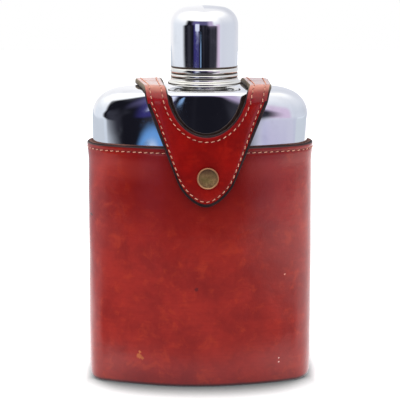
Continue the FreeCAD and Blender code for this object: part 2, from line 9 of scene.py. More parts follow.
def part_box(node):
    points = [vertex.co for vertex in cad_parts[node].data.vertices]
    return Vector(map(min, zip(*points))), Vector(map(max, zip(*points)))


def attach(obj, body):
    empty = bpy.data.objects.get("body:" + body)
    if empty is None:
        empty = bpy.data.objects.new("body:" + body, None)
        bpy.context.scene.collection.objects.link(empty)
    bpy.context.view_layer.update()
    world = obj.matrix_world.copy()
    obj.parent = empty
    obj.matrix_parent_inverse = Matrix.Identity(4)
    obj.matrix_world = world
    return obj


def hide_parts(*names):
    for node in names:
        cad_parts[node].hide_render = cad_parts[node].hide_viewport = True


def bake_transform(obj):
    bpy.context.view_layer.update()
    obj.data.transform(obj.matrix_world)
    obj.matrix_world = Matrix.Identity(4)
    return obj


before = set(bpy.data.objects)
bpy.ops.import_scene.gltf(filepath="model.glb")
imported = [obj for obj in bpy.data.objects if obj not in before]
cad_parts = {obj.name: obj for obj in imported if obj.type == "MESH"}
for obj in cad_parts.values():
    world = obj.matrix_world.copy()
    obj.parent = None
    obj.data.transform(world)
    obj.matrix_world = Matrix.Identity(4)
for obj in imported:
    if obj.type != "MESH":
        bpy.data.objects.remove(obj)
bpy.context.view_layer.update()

MM = 0.001
UP = Vector((0, 0, 1))

# ---------- sizes, in millimetres

def box_mm(node):
    """The low and high corners of a CAD node's box."""
    return tuple(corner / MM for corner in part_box(node))


WALL_HIGH = box_mm("case_wall")[1]
FLASK_LOW, FLASK_HIGH = box_mm("flask_shell")
BASE_HIGH = box_mm("case_base")[1]
DOME_LOW, DOME_HIGH = box_mm("cap_dome")
COLLAR_LOW, COLLAR_HIGH = box_mm("cap_collar")
ARM_LOW = box_mm("strap_arm_left_backing")[0]
FLAP_LOW = box_mm("strap_flap")[0]
TAIL_LOW = box_mm("strap_tail")[0]
SNAP_LOW, SNAP_HIGH = box_mm("snap_cap")

HALF_WIDTH = WALL_HIGH.x
HALF_DEPTH = WALL_HIGH.y
END_RADIUS = 14.0
RIM = WALL_HIGH.z
LEATHER = 1.4
END_CENTRE = HALF_WIDTH - END_RADIUS
FACE_RADIUS = (END_CENTRE ** 2 + HALF_DEPTH ** 2 - END_RADIUS ** 2) / (2 * (HALF_DEPTH - END_RADIUS))
FACE_CENTRE = FACE_RADIUS - HALF_DEPTH
SWITCH = atan2(FACE_CENTRE, END_CENTRE)   # where the end arc meets the face arc
END_LENGTH = 2 * SWITCH * END_RADIUS
FACE_LENGTH = (pi - 2 * SWITCH) * FACE_RADIUS

NECK_X = (DOME_LOW.x + DOME_HIGH.x) / 2
DOME_RADIUS = (DOME_HIGH.x - DOME_LOW.x) / 2
FLANGE_RADIUS = (COLLAR_HIGH.x - COLLAR_LOW.x) / 2
STITCH_PITCH = 2.4
STITCH_LENGTH = 1.45
STITCH_INSET = 2.3   # below the rim, and in from the strap's edges
STRAP_THICK = 2.1
STRAP_GAP = 0.4
SNAP_X = (SNAP_LOW.x + SNAP_HIGH.x) / 2
SNAP_Z = (SNAP_LOW.z + SNAP_HIGH.z) / 2


def srgb(red, green, blue):
    """A colour given in display steps of 0 to 255, as linear light with alpha."""
    steps = (red / 255, green / 255, blue / 255)
    return tuple(c / 12.92 if c <= 0.04045 else ((c + 0.055) / 1.055) ** 2.4 for c in steps) + (1.0,)


def smooth(low, high, value):
    """0 below low, 1 above high, with soft ends."""
    share = min(1.0, max(0.0, (value - low) / (high - low)))
    return share * share * (3 - 2 * share)


def rough(point, scale, seed):
    """Signed noise of about -1 to 1 at a point in mm; scale is the size of a bump in mm."""
    shift = Vector((seed * 17.3, seed * 5.1, seed * 9.7))
    return noise.noise(Vector(point) / scale + shift)


# ---------- the oval plan

def oval_loop(count, extra=()):
    """(point, normal) at places spread evenly along the oval's outline.

    extra adds places near the middle of the rear face, given as lengths from it.
    """
    total = 2 * (END_LENGTH + FACE_LENGTH)
    stops = [total * number / count for number in range(count)]
    rear_middle = END_LENGTH / 2 + FACE_LENGTH / 2
    stops.extend(rear_middle + offset for offset in extra)
    return [oval_at(length % total) for length in sorted(stops)]


def oval_at(length):
    """(point, normal) at a length along the outline from the right-hand end, counter-clockwise."""
    arcs = (
        (END_LENGTH / 2, 0.0, END_CENTRE, 0.0, END_RADIUS),
        (FACE_LENGTH, SWITCH, 0.0, -FACE_CENTRE, FACE_RADIUS),
        (END_LENGTH, pi - SWITCH, -END_CENTRE, 0.0, END_RADIUS),
        (FACE_LENGTH, pi + SWITCH, 0.0, FACE_CENTRE, FACE_RADIUS),
        (END_LENGTH / 2, 2 * pi - SWITCH, END_CENTRE, 0.0, END_RADIUS),
    )
    for run, start, x, y, radius in arcs:
        if length <= run:
            angle = start + length / radius
            normal = Vector((cos(angle), sin(angle), 0))
            return Vector((x, y, 0)) + normal * radius, normal
        length -= run
    return Vector((HALF_WIDTH, 0, 0)), Vector((1, 0, 0))


def face_depth(x, grow=0.0):
    """How far the oval's face stands from the middle plane at a place across."""
    radius = FACE_RADIUS + grow
    return sqrt(max(0.0, radius * radius - x * x)) - FACE_CENTRE


# ---------- mesh helpers

def make_piece(name, points, faces, materials, indices=None):
    """A mesh object from points in mm."""
    mesh = bpy.data.meshes.new(name)
    mesh.from_pydata([Vector(p) * MM for p in points], [], faces)
    for material in materials:
        mesh.materials.append(material)
    if indices:
        mesh.polygons.foreach_set("material_index", indices)
    mesh.polygons.foreach_set("use_smooth", [True] * len(mesh.polygons))
    mesh.validate()
    mesh.update()
    return place_object(name, mesh)


def place_object(name, data, place=(0, 0, 0)):
    """A new object in the scene."""
    item = bpy.data.objects.new(name, data)
    item.location = place
    bpy.context.scene.collection.objects.link(item)
    return item


def rings_to_faces(ring_count, around):
    """Quads between rings of points; the rings themselves are closed."""
    faces = []
    for row in range(ring_count - 1):
        low = row * around
        high = low + around
        for column in range(around):
            following = (column + 1) % around
            faces.append((low + column, low + following, high + following, high + column))
    return faces


def tube_faces(ring_count, around, downwards=False):
    """Quads between rings and a face over each end; downwards says that the first ring is the top one."""
    faces = rings_to_faces(ring_count, around)
    first = range(around)
    last = range((ring_count - 1) * around, ring_count * around)
    if downwards:
        return faces + [tuple(first), tuple(reversed(last))]
    return faces + [tuple(reversed(first)), tuple(last)]


def turns(steps):
    """Evenly spaced angles round a circle."""
    return [2 * pi * step / steps for step in range(steps)]


def ellipse(middle, first, width, second, height, steps):
    """Points round a middle, width away along first and height away along second."""
    return [middle + first * (width * cos(angle)) + second * (height * sin(angle)) for angle in turns(steps)]


def lathe(name, profile, materials, steps=128, second=()):
    """A turned piece about the neck's axis; profile is (radius, height) from bottom to top.

    The spans of the profile numbered in second take the second material.
    """
    points = []
    for radius, height in profile:
        points.extend((NECK_X + radius * cos(angle), radius * sin(angle), height) for angle in turns(steps))
    faces = rings_to_faces(len(profile), steps)
    indices = [int(span in second) for span in range(len(profile) - 1) for _ in range(steps)]
    return make_piece(name, points, faces, materials, indices)


def arc_points(centre_r, centre_z, radius, start, stop, count):
    """Profile points on an arc, angles in degrees from the outward direction."""
    angles = [radians(start + (stop - start) * step / count) for step in range(count + 1)]
    return [(centre_r + radius * cos(angle), centre_z + radius * sin(angle)) for angle in angles]


# ---------- node helpers

class Nodes:
    """A short way to write a net of shader nodes; here holds its coordinates."""

    def __init__(self, tree, coordinates="Object"):
        self.tree = tree
        tree.nodes.clear()
        self.here = self.add("TexCoord").outputs[coordinates]

    def add(self, kind, sockets=None, **settings):
        """A shader node; settings are its own properties, sockets its inputs."""
        node = self.tree.nodes.new("ShaderNode" + kind)
        for key, value in settings.items():
            setattr(node, key, value)
        self.fill(node, sockets or {})
        return node

    def fill(self, node, sockets):
        """Link or set a node's inputs, by name or number."""
        for socket, value in sockets.items():
            target = node.inputs[socket]
            if isinstance(value, bpy.types.NodeSocket):
                self.tree.links.new(value, target)
            else:
                target.default_value = value

    def math(self, operation, first, second=0.0, third=0.0, clamp=False):
        """One math node's output."""
        sockets = {0: first, 1: second, 2: third}
        return self.add("Math", sockets, operation=operation, use_clamp=clamp).outputs[0]

    def times(self, first, second):
        """The product of two values."""
        return self.math("MULTIPLY", first, second)

    def mul_add(self, value, factor, shift):
        """value times factor, plus shift."""
        return self.math("MULTIPLY_ADD", value, factor, shift)

    def off(self, value, centre=0.0):
        """How far a value is from a centre."""
        shifted = self.math("SUBTRACT", value, centre) if centre else value
        return self.math("ABSOLUTE", shifted)

    def reach(self, first, second):
        """The length of a vector with these two parts."""
        squares = (self.math("POWER", first, 2.0), self.math("POWER", second, 2.0))
        return self.math("SQRT", self.math("ADD", *squares))

    def band(self, value, low, high):
        """0 at low and 1 at high, with soft ends; low may be above high."""
        sockets = {"Value": value, "From Min": low, "From Max": high}
        return self.add("MapRange", sockets, interpolation_type="SMOOTHSTEP").outputs["Result"]

    def bands(self, *parts):
        """The product of its parts, each a value or the (value, low, high) of a band."""
        product = None
        for part in parts:
            share = self.band(*part) if isinstance(part, tuple) else part
            product = self.times(product, share) if product else share
        return product

    def mix(self, share, first, second):
        """A mix of two colours."""
        sockets = {0: share, 6: first, 7: second}
        return self.add("Mix", sockets, data_type="RGBA").outputs[2]

    def lay(self, below, tone, amount, *parts):
        """A colour laid over the one below, by amount times the product of the parts."""
        share = self.bands(*parts)
        if amount != 1:
            share = self.times(share, amount)
        return self.mix(share, below, tone)

    def noise(self, scale, detail=3.0, roughness=0.5, distortion=0.0, place=None):
        """Noise from 0 to 1."""
        sockets = {"Vector": place or self.here, "Scale": scale, "Detail": detail}
        sockets |= {"Roughness": roughness, "Distortion": distortion}
        return self.add("TexNoise", sockets).outputs["Fac"]

    def cells(self, scale, feature="F1"):
        """Distance to the nearest cell point or cell edge."""
        sockets = {"Vector": self.here, "Scale": scale}
        return self.add("TexVoronoi", sockets, feature=feature).outputs["Distance"]

    def bump(self, height, distance, strength=1.0, below=None):
        """A bump from a height of 0 to 1."""
        sockets = {"Height": height, "Distance": distance, "Strength": strength}
        if below is not None:
            sockets["Normal"] = below
        return self.add("Bump", sockets).outputs["Normal"]

    def parts(self):
        """x, y and z of the coordinates."""
        return self.add("SeparateXYZ", {0: self.here}).outputs

    def stretched(self, scale, rotation=(0.0, 0.0, 0.0)):
        """Coordinates turned and scaled, so that noise in them is drawn out."""
        return self.add("Mapping", {"Vector": self.here, "Rotation": rotation, "Scale": scale}).outputs[0]

    def finish(self, sockets):
        """The material, once its principled shader's inputs are set."""
        self.fill(self.shader, sockets)
        return self.material

    def painted_top_highlight(self):
        """How much painted highlight to lay, from the value of that name that the strap carries."""
        return self.add("Attribute", attribute_name="painted_top_highlight").outputs["Fac"]


def new_material(name):
    """The net of a new material, with a principled shader linked to its output."""
    material = bpy.data.materials.new(name)
    material.use_nodes = True
    net = Nodes(material.node_tree)
    net.material = material
    net.shader = net.add("BsdfPrincipled")
    net.add("OutputMaterial", {"Surface": net.shader.outputs[0]})
    return net


# ---------- materials

# The dark of the burnished rim; at the case's foot it also paints the contact shadow.
BURNISH_AND_SHADE = srgb(34, 10, 12)

# A few small scars of wear on the case front: across, up, size in mm, colour.
SCARS = (
    (-24.6, 12.2, 1.3, srgb(168, 88, 40)),
    (-23.3, 11.4, 0.9, srgb(160, 80, 36)),
    (-24.2, 14.0, 0.6, srgb(176, 96, 48)),
    (32.0, 10.6, 0.42, srgb(238, 200, 190)),
    (32.0, 8.8, 0.36, srgb(238, 200, 190)),
    (34.0, 45.5, 0.3, srgb(214, 150, 130)),
    (-1.4, 41.0, 1.0, srgb(84, 16, 18)),
    (-43.6, 68.4, 0.8, srgb(60, 16, 16)),
)


def add_scars(net, colour, x, y, z):
    """Small chips and spots on the front of the case, with ragged edges."""
    ragged = net.times(net.math("SUBTRACT", net.noise(1500.0, 2.0), 0.5), 0.0012)
    for across, up, size, tone in SCARS:
        far = net.reach(net.math("SUBTRACT", x, across * MM), net.math("SUBTRACT", z, up * MM))
        far = net.math("ADD", far, ragged)
        colour = net.lay(colour, tone, 0.85, (far, size * MM, size * 0.5 * MM), (y, 0.0, -0.001))
    return colour


def add_case_shading_and_burnish(net, colour, x, z):
    """Painted shade in the upper middle, a painted highlight below the rim, a burnished rim, and a foot of
    dye and painted shadow.
    """
    aside = net.off(x)
    middle = net.math("SUBTRACT", 1.0, net.band(aside, 0.022, 0.040))
    # Painted shade: a deep red laid over the upper middle of the case, round the flap.
    colour = net.lay(colour, srgb(102, 3, 1), 0.8, (z, 0.050, 0.086), middle)
    # Painted highlight: a pale band a little below the rim, on each side of the middle.
    painted_highlight_low = (z, (RIM - 16) * MM, (RIM - 9) * MM)
    painted_highlight_high = (z, (RIM - 4) * MM, (RIM - 7) * MM)
    colour = net.lay(colour, srgb(172, 72, 66), 0.14, painted_highlight_low, painted_highlight_high, (aside, 0.012, 0.024))
    colour = net.lay(colour, BURNISH_AND_SHADE, 0.92, (z, (RIM - 1.0) * MM, (RIM - 0.5) * MM))
    # The foot: a dark dyed edge together with a painted contact shadow.
    return net.lay(colour, BURNISH_AND_SHADE, 0.8, (z, 0.0016, 0.0006))


def leather_material(name, dyes, gloss, coat, grain=1.0, case=False):
    """Glazed hide: softly mottled dye, fine pores, faint creases, a coat of uneven wear.

    dyes are a deep, a main and a warm colour. On the strap a pale painted highlight is laid where its top
    turns up over the shoulder.
    """
    deep, main, warm = dyes
    net = new_material(name)
    x, y, z = net.parts()
    clouds = net.noise(60.0, 8.0, 0.72, 0.2)
    patches = net.noise(170.0, 4.0, 0.65, 0.5)
    streaks = net.noise(1100.0, 3.0, 0.6, place=net.stretched((0.09, 0.09, 1.0)))
    colour = net.mix(net.band(clouds, 0.33, 0.67), deep, main)
    colour = net.lay(colour, warm, 0.5, (patches, 0.5, 0.72))
    colour = net.lay(colour, deep, 0.35, (streaks, 0.45, 0.75))
    if case:
        colour = add_case_shading_and_burnish(net, colour, x, z)
        colour = add_scars(net, colour, x, y, z)
    else:
        # Painted highlight: the strap's dye is paled, mottled, where its top turns up over the shoulder.
        pale_highlight = net.math("MULTIPLY", net.painted_top_highlight(), net.mul_add(patches, 0.9, 0.35), clamp=True)
        colour = net.lay(colour, srgb(190, 132, 110), 0.8, pale_highlight)
    pores = net.cells(1500.0)
    wrinkles = net.cells(620.0, "DISTANCE_TO_EDGE")
    fine = net.noise(2600.0, 2.0)
    height = net.mul_add(pores, 0.45, net.times(fine, 0.35))
    height = net.math("ADD", height, net.times(net.band(wrinkles, 0.0, 0.12), 0.3))
    normal = net.bump(height, 0.00005 * grain, 0.5)
    swell = net.noise(160.0, 2.0)
    normal = net.bump(swell, 0.0004 * grain, 0.3, normal)
    wear = net.noise(75.0, 5.0, 0.65)
    return net.finish({
        "Base Color": colour,
        "Normal": normal,
        "Roughness": net.mul_add(wear, 0.25, gloss + 0.1),
        "Specular IOR Level": 0.08,
        "Coat Weight": coat,
        "Coat Roughness": net.mul_add(wear, 0.12, gloss * 0.3),
        "Coat Normal": normal,
    })


def plain_hide_material(name, light, dark, scale=900.0, pale_highlight=None):
    """Unfinished or dye-coloured cut leather: fibrous, matt; where the strap carries the painted highlight,
    it takes a pale colour.
    """
    net = new_material(name)
    fibres = net.noise(scale, 5.0, 0.7, 1.5)
    broad = net.noise(120.0, 3.0)
    share = net.mul_add(broad, 0.5, net.times(fibres, 0.5))
    colour = net.mix(net.band(share, 0.35, 0.65), dark, light)
    if pale_highlight:
        colour = net.lay(colour, pale_highlight, 0.8, net.painted_top_highlight())
    return net.finish({
        "Base Color": colour,
        "Roughness": 0.62,
        "Specular IOR Level": 0.15,
        "Normal": net.bump(fibres, 0.00012, 0.8),
    })


def thread_material():
    """Waxed thread: two twisted plies with a painted highlight along them, and a little dirt."""
    net = new_material("waxed_thread")
    sockets = {"Vector": net.here, "Scale": 900.0, "Distortion": 0.6}
    twist_and_highlight = net.add("TexWave", sockets, bands_direction="DIAGONAL").outputs["Fac"]
    dirt = net.noise(420.0, 3.0)
    colour = net.mix(net.band(dirt, 0.35, 0.7), srgb(206, 140, 112), srgb(158, 88, 68))
    return net.finish({
        # Painted highlight: a pale colour laid on the twist's ridges.
        "Base Color": net.lay(colour, srgb(228, 184, 158), 0.4, twist_and_highlight),
        "Roughness": 0.55,
        "Normal": net.bump(twist_and_highlight, 0.00008, 0.8),
    })


def metal_material(name, tint, gloss, haze, dent):
    """Bright plate with fine scratches, fingerprints and a very slight wave in the sheet."""
    net = new_material(name)
    stain = net.noise(60.0, 4.0, 0.6)
    dull = tuple(c * 0.82 for c in tint[:3]) + (1.0,)
    drawn = net.stretched((1.0, 1.0, 14.0), (0.0, 0.5, 0.0))
    hairs = net.noise(420.0, 2.0, 0.4, place=drawn)
    marks = net.band(hairs, 0.72, 0.78)
    prints = net.band(net.noise(140.0, 3.0, 0.6), 0.5, 0.75)
    level = net.mul_add(prints, 0.05 + haze, gloss)
    wave = net.noise(45.0, 1.0)
    normal = net.bump(wave, 0.0009 * dent, 0.25)
    return net.finish({
        "Metallic": 1.0,
        "Base Color": net.mix(net.band(stain, 0.5, 0.8), tint, dull),
        "Roughness": net.mul_add(marks, 0.05, level),
        "Normal": net.bump(marks, 0.000002, 0.2, normal),
    })


def snap_material():
    """Antique brass: dark olive-brown patina, with a darker colour laid towards the top of the face."""
    net = new_material("antique_brass")
    z = net.parts()[2]
    bloom = net.noise(900.0, 4.0, 0.7)
    broad = net.noise(260.0, 2.0)
    colour = net.mix(net.band(bloom, 0.35, 0.7), srgb(112, 84, 56), srgb(158, 128, 84))
    colour = net.lay(colour, srgb(104, 98, 52), 0.4, (broad, 0.5, 0.65))
    colour = net.lay(colour, srgb(66, 36, 28), 0.75, (z, (SNAP_Z - 1.0) * MM, (SNAP_Z + 3.5) * MM))
    return net.finish({
        "Metallic": 0.45,
        "Base Color": colour,
        "Roughness": net.mul_add(bloom, 0.35, 0.2),
        "Normal": net.bump(bloom, 0.00004, 0.5),
    })


def cork_material():
    """Pressed cork: light grains with dark specks."""
    net = new_material("pressed_cork")
    grain = net.cells(900.0)
    specks = net.noise(1400.0, 3.0)
    colour = net.mix(net.band(grain, 0.1, 0.7), srgb(196, 150, 100), srgb(150, 104, 62))
    return net.finish({
        "Base Color": net.lay(colour, srgb(80, 48, 26), 1, (specks, 0.62, 0.7)),
        "Roughness": 0.85,
        "Normal": net.bump(grain, 0.0002, 0.6),
    })


def felt_material(name, light, dark):
    """Pressed fibre or felt."""
    net = new_material(name)
    fuzz = net.noise(1800.0, 6.0, 0.8, 2.0)
    return net.finish({
        "Base Color": net.mix(fuzz, dark, light),
        "Roughness": 0.95,
        "Normal": net.bump(fuzz, 0.0002, 0.9),
    })


CASE_DYES = (srgb(116, 14, 8), srgb(139, 26, 15), srgb(156, 42, 14))
STRAP_DYES = (srgb(106, 3, 1), srgb(134, 9, 3), srgb(152, 24, 8))
CASE_LEATHER = leather_material("case_leather", CASE_DYES, 0.26, 0.9, case=True)
STRAP_LEATHER = leather_material("strap_leather", STRAP_DYES, 0.2, 1.0, 0.7)
# On the strap, these edges take the painted highlight's pale colour over the shoulder.
EDGE_DYE = plain_hide_material("edge_dye", srgb(44, 28, 30), srgb(20, 11, 13), pale_highlight=srgb(116, 102, 84))
EDGE_LINE = plain_hide_material("edge_line", srgb(118, 102, 78), srgb(72, 60, 46))
CUT_EDGE = plain_hide_material("cut_edge", srgb(120, 76, 62), srgb(70, 38, 32))
SUEDE = plain_hide_material("suede_backing", srgb(64, 44, 34), srgb(40, 26, 20), 1600.0)
LINING = plain_hide_material("lining_hide", srgb(176, 138, 100), srgb(132, 96, 66), 700.0)
# Painted shade: the dark of the awl holes, laid on flat discs.
HOLE_SHADE = plain_hide_material("painted_awl_hole_shade", srgb(40, 14, 12), srgb(20, 8, 8))
THREAD = thread_material()
FLASK_METAL = metal_material("flask_plate", (0.86, 0.87, 0.90, 1.0), 0.03, 0.02, 0.35)
CAP_METAL = metal_material("cap_plate", (0.88, 0.88, 0.90, 1.0), 0.05, 0.02, 0.15)
COLLAR_METAL = metal_material("collar_plate", (0.84, 0.82, 0.77, 1.0), 0.08, 0.03, 0.1)
# Painted shade: a dark plate in the collar's grooves and round the cap's foot.
GROOVE_SHADE = metal_material("painted_groove_shade", (0.16, 0.14, 0.12, 1.0), 0.4, 0.1, 0.2)
INNER_METAL = metal_material("inner_metal", (0.62, 0.61, 0.58, 1.0), 0.28, 0.1, 0.2)
SNAP_BRASS = snap_material()
RUBBED_BRASS = metal_material("rubbed_brass", srgb(214, 160, 118), 0.34, 0.1, 0.3)
CORK = cork_material()
FELT = felt_material("felt", srgb(120, 104, 84), srgb(70, 60, 48))
FIBRE = felt_material("fibre_washer", srgb(214, 208, 196), srgb(168, 160, 146))


# ---------- the case

RIM_FLARE = 0.45
END_SWELL = 1.3
CORNER_SWELLS = ((-1, 2.2), (1, 1.0))   # side, mm


def rim_flare(x, z):
    """The rim stands away from the flask, except where the strap holds it down."""
    return RIM_FLARE * smooth(RIM - 9, RIM - 0.5, z) * smooth(24, 36, abs(x))


def fullness(place, normal, z):
    """The case is fuller at its ends towards the foot, and squarer at the front corners there."""
    ends = END_SWELL * min(1.0, max(0.0, (90 - z) / 80)) ** 0.8 * smooth(18, 44, abs(place.x))
    corners = 0.0
    for side, swell in CORNER_SWELLS:
        corners += swell * max(0.0, normal.dot(Vector((side * 0.62, -0.78, 0)))) ** 10
    return ends + corners * (1 - smooth(4, 46, z))


def case_surface(place, normal, z, grow, bumps=1.0):
    """A point of the case wall, with the leather's slow hand-made waviness."""
    here = place + UP * z
    wobble = 0.16 * rough(here, 30, 1) + 0.06 * rough(here, 11, 2)
    out = grow + rim_flare(place.x, z) + fullness(place, normal, z) + bumps * wobble
    return here + normal * out


INNER_SKIN = -1.78
FOOT = 0.04          # the wall stands just clear of the floor
RING_STEP = 2.0
SEAM_HALF = 0.5
SEAM_DEPTH = 0.35


def wall_profile():
    """(height, growth, kind) up the wall's outside and down its inside.

    Kinds are 0 for the face, 1 for the burnished edge, 2 for the cut edge and 3 for the lining.
    """
    row = RIM - STITCH_INSET
    profile = [(FOOT, -LEATHER + 0.1, 0), (FOOT, -0.7, 0), (FOOT + 0.03, -0.3, 0)]
    profile += [(FOOT + 0.22, -0.08, 0), (FOOT + 0.6, 0.0, 0)]
    height = FOOT + RING_STEP
    while height < row - 2.2:
        profile.append((height, 0.0, 0))
        height += RING_STEP
    channel = ((-1.4, 0), (-0.7, 0), (-0.35, -0.08), (0, -0.14), (0.35, -0.08), (0.7, 0), (1.2, 0.02))
    profile += [(row + offset, dip, 0) for offset, dip in channel]
    lip = ((0.7, 0.0, 0), (0.35, -0.15, 1), (0.1, -0.45, 1), (0, -0.8, 2), (0.05, -1.2, 2))
    profile += [(RIM - drop, grow, kind) for drop, grow, kind in lip]
    inside = (RIM - 0.3, RIM - 3, RIM - 12, RIM - 40, FOOT)
    return profile + [(height, INNER_SKIN, 3) for height in inside]


def make_case_wall():
    """Outer wall: foot roll, gentle waves, stitch channel, burnished rim, inner face."""
    profile = wall_profile()
    loop = oval_loop(260, (-0.9, -0.45, -0.2, 0.0, 0.2, 0.45, 0.9))
    points = []
    for z, grow, kind in profile:
        for place, normal in loop:
            if kind == 3:
                points.append(place + normal * grow + UP * z)
                continue
            seam = 0.0
            if place.y > 0 and abs(place.x) < SEAM_HALF and z > FOOT:
                seam = -SEAM_DEPTH * (1 - abs(place.x) / SEAM_HALF)
            inside = rim_flare(place.x, z) * smooth(0.6, 1.4, -grow) if kind == 2 else 0.0
            point = case_surface(place, normal, z, grow + seam - inside, 1 - smooth(0.2, 1.0, -grow))
            points.append(point)
    faces = rings_to_faces(len(profile), len(loop))
    indices = [kind for *_, kind in profile[:-1] for _ in loop]
    piece = make_piece("leather_case", points, faces, [CASE_LEATHER, EDGE_DYE, CUT_EDGE, LINING], indices)
    finish_piece(piece, "case_leather", "case_wall", "case_lining")


def make_case_base():
    """Leather disc that closes the foot: a domed edge, dark where it is glued to the wall."""
    profile = [(BASE_HIGH.z, -1.7), (0.4, -1.5), (0.1, -1.5), (0.0, -1.8), (0.0, -4.0), (0.05, -9.0)]
    loop = oval_loop(200)
    points = []
    for z, grow in profile:
        for place, normal in loop:
            points.append(place + normal * (grow + fullness(place, normal, z)) + UP * z)
    faces = tube_faces(len(profile), len(loop), downwards=True)
    piece = make_piece("leather_base", points, faces, [EDGE_DYE])
    finish_piece(piece, "case_leather", "case_base")


def finish_piece(piece, slot, *nodes, body="flask_in_case"):
    """The piece rides one body, and the CAD nodes it stands in for are hidden."""
    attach(piece, body)
    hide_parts(*nodes)


# ---------- stitches

def stitches(name, rows):
    """Bent, flattened thread bars with flat dark discs painted as the shade of awl holes; rows hold (place,
    along, outwards).
    """
    bar = ((-0.5, -0.2, 0.08), (-0.44, 0.0, 0.14), (-0.25, 0.09, 0.165), (0, 0.12, 0.175),
           (0.25, 0.09, 0.165), (0.44, 0.0, 0.14), (0.5, -0.2, 0.08))
    around = 8
    bar_faces = tube_faces(len(bar), around)
    points = []
    faces = []
    indices = []
    for number, (place, along, outwards) in enumerate(rows):
        across = outwards.cross(along).normalized()
        lean = radians(9 + 3 * rough((number, 0, 0), 1.7, 3))
        run = (along * cos(lean) + across * sin(lean)).normalized()
        side = outwards.cross(run).normalized()
        first = len(points)
        for share, lift, width in bar:
            centre = place + run * (share * STITCH_LENGTH) + outwards * lift
            points.extend(ellipse(centre, side, width, outwards, 0.15, around))
        faces.extend(tuple(first + corner for corner in face) for face in bar_faces)
        indices.extend([0] * len(bar_faces))
        # Flat dark discs at the bar's ends: painted shade in the awl holes.
        for sign in (-1, 1):
            middle = place + run * (sign * 0.56 * STITCH_LENGTH) + outwards * 0.03
            start = len(points)
            points.extend(ellipse(middle, side, 0.2, run, 0.17, around))
            faces.append(tuple(start + corner for corner in range(around)))
            indices.append(1)
    return make_piece(name, points, faces, [THREAD, HOLE_SHADE], indices)


def make_rim_stitches():
    """One row under the rim, stopped where the tail covers it."""
    count = 92
    tail_half = 23.5
    rows = []
    for place, normal in oval_loop(count):
        if place.y < 0 or abs(place.x) > tail_half:
            spot = case_surface(place, normal, RIM - STITCH_INSET, -0.08)
            rows.append((spot, UP.cross(normal), normal))
    finish_piece(stitches("rim_thread", rows), "thread", "rim_stitching")


def make_back_stitches():
    """Two rows down the wall's closing seam."""
    rows = []
    height = TAIL_LOW.z - 2.5
    while height > 5:
        for x in (-1.6, 1.6):
            place = Vector((x, face_depth(x), 0))
            normal = Vector((x / FACE_RADIUS, 1, 0)).normalized()
            spot = case_surface(place, normal, height, 0.02)
            rows.append((spot, UP, normal))
        height -= STITCH_PITCH
    finish_piece(stitches("back_seam_thread", rows), "thread", "back_seam_stitching")


# ---------- the strap

BEND_INNER = 4.5         # radius of the strap's underside at its bends
STRAP_FLOOR = ARM_LOW.z
BEND_Z = STRAP_FLOOR - BEND_INNER
WIDTH_Z = STRAP_FLOOR - 1.2    # where the tongues' widths are given
# Across the strap from its edge: how far in, height above the underside, and 0 for the grain side,
# 1 for dye or 2 for the pale line between the two layers.
EDGE_ROLL = ((0.2, 0.0, 1), (0.02, 0.25, 1), (0.0, 0.72, 2), (0.0, 0.9, 1), (0.08, 1.4, 1), (0.28, 1.74, 1),
             (0.6, 1.94, 0), (1.0, 2.04, 0), (1.5, 2.07, 0), (1.95, 2.04, 0), (2.3, 1.96, 0), (2.65, 2.04, 0),
             (3.2, 2.08, 0))
DYE_AND_SHADE_COLUMNS = (6, 7)    # also dark on the outer edge of the two tongues: the dyed bevel, widened as painted shadow


class Tongue:
    """The outline of one end of the strap: half widths against height, with a round tip and notch."""

    def __init__(self, facing, tip, notch, mid_low, mid_high, outer, inner):
        """outer and inner are (half width at WIDTH_Z, slope, height of the round end, handle, bluntness)."""
        self.facing = facing
        self.mid = lambda z: mid_low + (mid_high - mid_low) * (z - tip) / (WIDTH_Z - tip)
        self.widths = (outer, inner)
        self.outer = self.edge(tip, *outer)
        self.inner = self.edge(notch, *inner)

    def edge(self, low, half, slope, rise, handle, blunt):
        """Points (half width, height) from the middle of the tip up to the bend."""
        join_z = low + rise
        join = half - slope * (WIDTH_Z - join_z)
        below_join = Vector((join - slope * handle, join_z - handle))
        corners = (Vector((0, low)), Vector((join * blunt, low)), below_join, Vector((join, join_z)))
        steps = 24
        path = [bezier(corners, step / steps) for step in range(steps)]
        for step in range(steps + 1):
            z = join_z + (BEND_Z - join_z) * step / steps
            path.append(Vector((half - slope * (WIDTH_Z - z), z)))
        return path

    def across(self, sign, z):
        """Places across of the outer and inner edges above the bend's start."""
        return tuple(self.mid(z) + sign * (half - slope * (WIDTH_Z - z)) for half, slope, *_ in self.widths)


def bezier(corners, t):
    """A point on a cubic curve."""
    u = 1 - t
    a, b, c, d = corners
    return a * u ** 3 + b * (3 * u * u * t) + c * (3 * u * t * t) + d * t ** 3


def resample(path, count):
    """Evenly spaced points along a path, both ends kept."""
    lengths = [0.0]
    for first, second in zip(path, path[1:]):
        lengths.append(lengths[-1] + (second - first).length)
    found = []
    segment = 0
    for number in range(count):
        wanted = lengths[-1] * number / (count - 1)
        while segment < len(path) - 2 and lengths[segment + 1] < wanted:
            segment += 1
        span = max(1e-9, lengths[segment + 1] - lengths[segment])
        share = min(1.0, max(0.0, (wanted - lengths[segment]) / span))
        found.append(path[segment].lerp(path[segment + 1], share))
    return found


FLAP = Tongue(-1, FLAP_LOW.z, 102.5, 2.3, 2.8, (24.4, 0.395, 9.7, 4.5, 0.36), (15.5, 0.44, 9.1, 4.7, 0.46))
TAIL = Tongue(1, TAIL_LOW.z, 101.5, 0.6, 0.6, (27.0, 0.36, 15.2, 6.5, 0.46), (16.2, 0.40, 9.1, 4.7, 0.46))
TONGUE_STEPS = 90
BEND_STEPS = 12
ARM_STEPS = 12
MIDDLE_STEPS = 7


